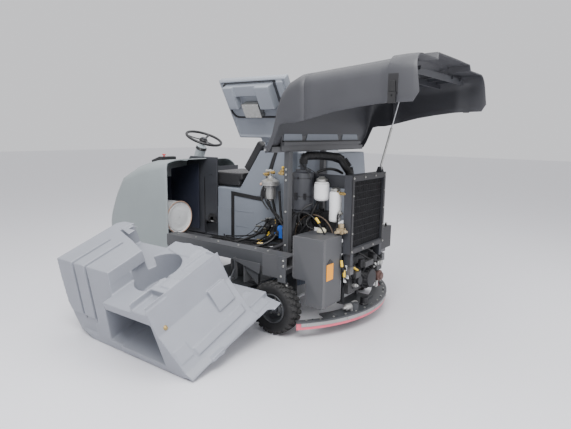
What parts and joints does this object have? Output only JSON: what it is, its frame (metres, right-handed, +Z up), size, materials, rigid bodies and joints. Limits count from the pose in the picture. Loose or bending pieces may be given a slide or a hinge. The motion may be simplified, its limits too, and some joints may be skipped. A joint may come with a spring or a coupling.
{
  "type": "ride-on floor scrubber",
  "caption": "Ride-on floor scrubber opened for service, with its side tank tipped out, rear hood raised and tank lid lifted over the engine bay.",
  "frame": {"origin": "on the floor under the centre of the box round the whole open machine", "axes": "+X forward, the way the machine drives, +Y to the operator's left, the side to which the side tank tips out, +Z up"},
  "size_m": [3.196, 2.4836, 2.008],
  "materials": {
    "frame_paint": "satin",
    "shell_plastic": "satin",
    "panel_plastic": "satin",
    "hood_plastic": "satin",
    "dark_plastic": "satin",
    "black_plastic": "satin",
    "column_plastic": "satin",
    "red_plastic": "gloss",
    "yellow_paint": "satin",
    "cream_plastic": "satin",
    "white_paint": "gloss",
    "tyre_rubber": "matt",
    "soft_rubber": "matt",
    "red_rubber": "satin",
    "seat_vinyl": "satin",
    "bright_steel": "brushed",
    "cast_metal": "rough",
    "light_alloy": "satin",
    "brass_metal": "satin",
    "fin_metal": "matt",
    "fork_paint": "satin",
    "bristle_plastic": "matt"
  },
  "bodies": {
    "machine": {"chassis_frame": "frame_paint", "bulkhead_panels": "panel_plastic", "rear_axle": "bright_steel", "hinge_pins": "bright_steel", "nose_shell": "shell_plastic", "steering_column": "column_plastic", "control_pod": "dark_plastic", "footwell_side_panel": "dark_plastic", "footwell_tub": "dark_plastic", "recovery_tank": "shell_plastic", "tank_gasket": "soft_rubber", "front_canister": "white_paint", "engine_block": "cast_metal", "engine_mounts": "soft_rubber", "alternator": "light_alloy", "drive_belt": "soft_rubber", "radiator_frame": "frame_paint", "radiator_core": "fin_metal", "air_cleaner": "dark_plastic", "fuel_filters": "white_paint", "gas_regulator": "light_alloy", "gas_valve": "brass_metal", "intake_hose": "soft_rubber", "hydraulic_hoses": "soft_rubber", "hydraulic_reservoir": "dark_plastic", "battery": "black_plastic", "rear_pump": "cast_metal"},
    "rear_wheel_left": {"rear_tyre_left": "tyre_rubber", "rear_rim_left": "frame_paint"},
    "rear_wheel_right": {"rear_tyre_right": "tyre_rubber", "rear_rim_right": "frame_paint"},
    "steering_fork": {"front_fork": "fork_paint"},
    "drive_wheel": {"front_wheel": "tyre_rubber"},
    "steering_wheel": {"steering_wheel": "black_plastic"},
    "horn_button": {"horn_button": "dark_plastic"},
    "emergency_stop": {"emergency_stop": "red_plastic"},
    "drive_pedal": {"drive_pedal": "black_plastic"},
    "brake_pedal": {"brake_pedal": "black_plastic"},
    "seat": {"seat_frame": "frame_paint", "seat_cushion": "seat_vinyl", "seat_back": "seat_vinyl"},
    "canister_cap": {"canister_cap": "white_paint"},
    "side_tank": {"side_tank": "shell_plastic"},
    "tank_lid": {"tank_lid": "shell_plastic", "lid_gasket": "soft_rubber", "strainer_box": "bright_steel"},
    "hood": {"hood": "hood_plastic", "hood_latches": "soft_rubber"},
    "strut_cylinder": {"strut_cylinder": "frame_paint"},
    "strut_rod": {"strut_rod": "bright_steel"},
    "crank_pulley": {"crank_pulley": "cast_metal"},
    "engine_fan": {"engine_fan": "black_plastic"},
    "alternator_pulley": {"alternator_pulley": "cast_metal"},
    "gas_valve_handle": {"gas_valve_handle": "yellow_paint"},
    "reservoir_cap": {"reservoir_cap": "cream_plastic"},
    "squeegee": {"squeegee_frame": "frame_paint", "squeegee_blade": "red_rubber"},
    "scrub_deck": {"scrub_deck": "frame_paint"},
    "brush_left": {"brush_left": "bristle_plastic"},
    "brush_right": {"brush_right": "bristle_plastic"}
  },
  "joints": [
    {"name": "rear_left_roll", "type": "hinge", "parent": "machine", "child": "rear_wheel_left", "pos_m": [-0.545, 0.151, 0.2], "axis": [0, 1, 0], "continuous": true},
    {"name": "rear_right_roll", "type": "hinge", "parent": "machine", "child": "rear_wheel_right", "pos_m": [-0.545, -1.149, 0.2], "axis": [0, 1, 0], "continuous": true},
    {"name": "fork_steer", "type": "hinge", "parent": "machine", "child": "steering_fork", "pos_m": [1.175, -0.499, 0.44], "axis": [0, 0, 1], "range_deg": [-72, 72]},
    {"name": "drive_roll", "type": "hinge", "parent": "steering_fork", "child": "drive_wheel", "pos_m": [1.175, -0.499, 0.15], "axis": [0, 1, 0], "continuous": true},
    {"name": "steering_turn", "type": "hinge", "parent": "machine", "child": "steering_wheel", "pos_m": [0.955, -0.599, 1.42], "axis": [-0.3746, 0, 0.9272], "range_deg": [-370, 370]},
    {"name": "horn_press", "type": "slide", "parent": "steering_wheel", "child": "horn_button", "axis": [0.3746, 0, -0.9272], "range_m": [0, 0.003], "stiffness_N_per_m": 600, "springref_m": -0.003},
    {"name": "emergency_press", "type": "slide", "parent": "machine", "child": "emergency_stop", "axis": [0, 0, -1], "range_m": [0, 0.005]},
    {"name": "drive_pedal_press", "type": "hinge", "parent": "machine", "child": "drive_pedal", "pos_m": [1.03, -0.759, 0.534], "axis": [0, 1, 0], "range_deg": [0, 14], "stiffness_Nm_per_rad": 20, "springref_deg": -34.38},
    {"name": "brake_pedal_press", "type": "hinge", "parent": "machine", "child": "brake_pedal", "pos_m": [1.03, -0.559, 0.534], "axis": [0, 1, 0], "range_deg": [0, 14], "stiffness_Nm_per_rad": 20, "springref_deg": -34.38},
    {"name": "seat_slide", "type": "slide", "parent": "machine", "child": "seat", "axis": [1, 0, 0], "range_m": [0, 0.1]},
    {"name": "canister_twist", "type": "hinge", "parent": "machine", "child": "canister_cap", "pos_m": [0.815, -0.127, 0.69], "axis": [-1, 0, 0], "range_deg": [0, 90]},
    {"name": "side_tank_tip", "type": "hinge", "parent": "machine", "child": "side_tank", "pos_m": [0.055, 0.201, 0.36], "axis": [1, 0, 0], "range_deg": [0, 110]},
    {"name": "lid_swing", "type": "hinge", "parent": "machine", "child": "tank_lid", "pos_m": [-0.115, -0.379, 1.4], "axis": [1, 0, 0], "range_deg": [-60, 0]},
    {"name": "hood_tip", "type": "hinge", "parent": "machine", "child": "hood", "pos_m": [-0.495, -0.499, 1.37], "axis": [0, -1, 0], "range_deg": [0, 32]},
    {"name": "strut_swing", "type": "hinge", "parent": "machine", "child": "strut_cylinder", "pos_m": [-0.945, -0.699, 1.215], "axis": [0, -1, 0], "range_deg": [0, 39.57]},
    {"name": "strut_slide", "type": "slide", "parent": "strut_cylinder", "child": "strut_rod", "axis": [0.2443, 0, -0.9697], "range_m": [0, 0.2552]},
    {"name": "crank_turn", "type": "hinge", "parent": "machine", "child": "crank_pulley", "pos_m": [-0.525, -0.268, 0.62], "axis": [0, 1, 0], "continuous": true},
    {"name": "fan_turn", "type": "hinge", "parent": "machine", "child": "engine_fan", "pos_m": [-0.645, -0.268, 0.69], "axis": [0, 1, 0], "continuous": true},
    {"name": "alternator_turn", "type": "hinge", "parent": "machine", "child": "alternator_pulley", "pos_m": [-0.355, -0.268, 0.925], "axis": [0, 1, 0], "continuous": true},
    {"name": "valve_turn", "type": "hinge", "parent": "machine", "child": "gas_valve_handle", "pos_m": [-0.31, -0.237, 1.215], "axis": [0, 0, 1], "range_deg": [0, 90]},
    {"name": "filler_cap_twist", "type": "hinge", "parent": "machine", "child": "reservoir_cap", "pos_m": [-0.775, -0.099, 0.775], "axis": [0, 0, 1], "range_deg": [0, 90]},
    {"name": "squeegee_lower", "type": "slide", "parent": "machine", "child": "squeegee", "axis": [0, 0, -1], "range_m": [0, 0.078]},
    {"name": "deck_lower", "type": "slide", "parent": "machine", "child": "scrub_deck", "axis": [0, 0, -1], "range_m": [0, 0.058]},
    {"name": "brush_left_spin", "type": "hinge", "parent": "scrub_deck", "child": "brush_left", "pos_m": [0.105, -0.149, 0.12], "axis": [0, 0, 1], "continuous": true},
    {"name": "brush_right_spin", "type": "hinge", "parent": "scrub_deck", "child": "brush_right", "pos_m": [0.105, -0.849, 0.12], "axis": [0, 0, 1], "continuous": true}
  ],
  "couplings": [
    {"joint": "steering_turn", "follows": "fork_steer", "ratio": 5},
    {"joint": "strut_swing", "follows": "hood_tip", "ratio": 1.2271},
    {"joint": "strut_slide", "follows": "hood_tip", "m_per_rad": 0.45518},
    {"joint": "fan_turn", "follows": "crank_turn", "ratio": 1.4091},
    {"joint": "alternator_turn", "follows": "crank_turn", "ratio": 1.8235}
  ]
}
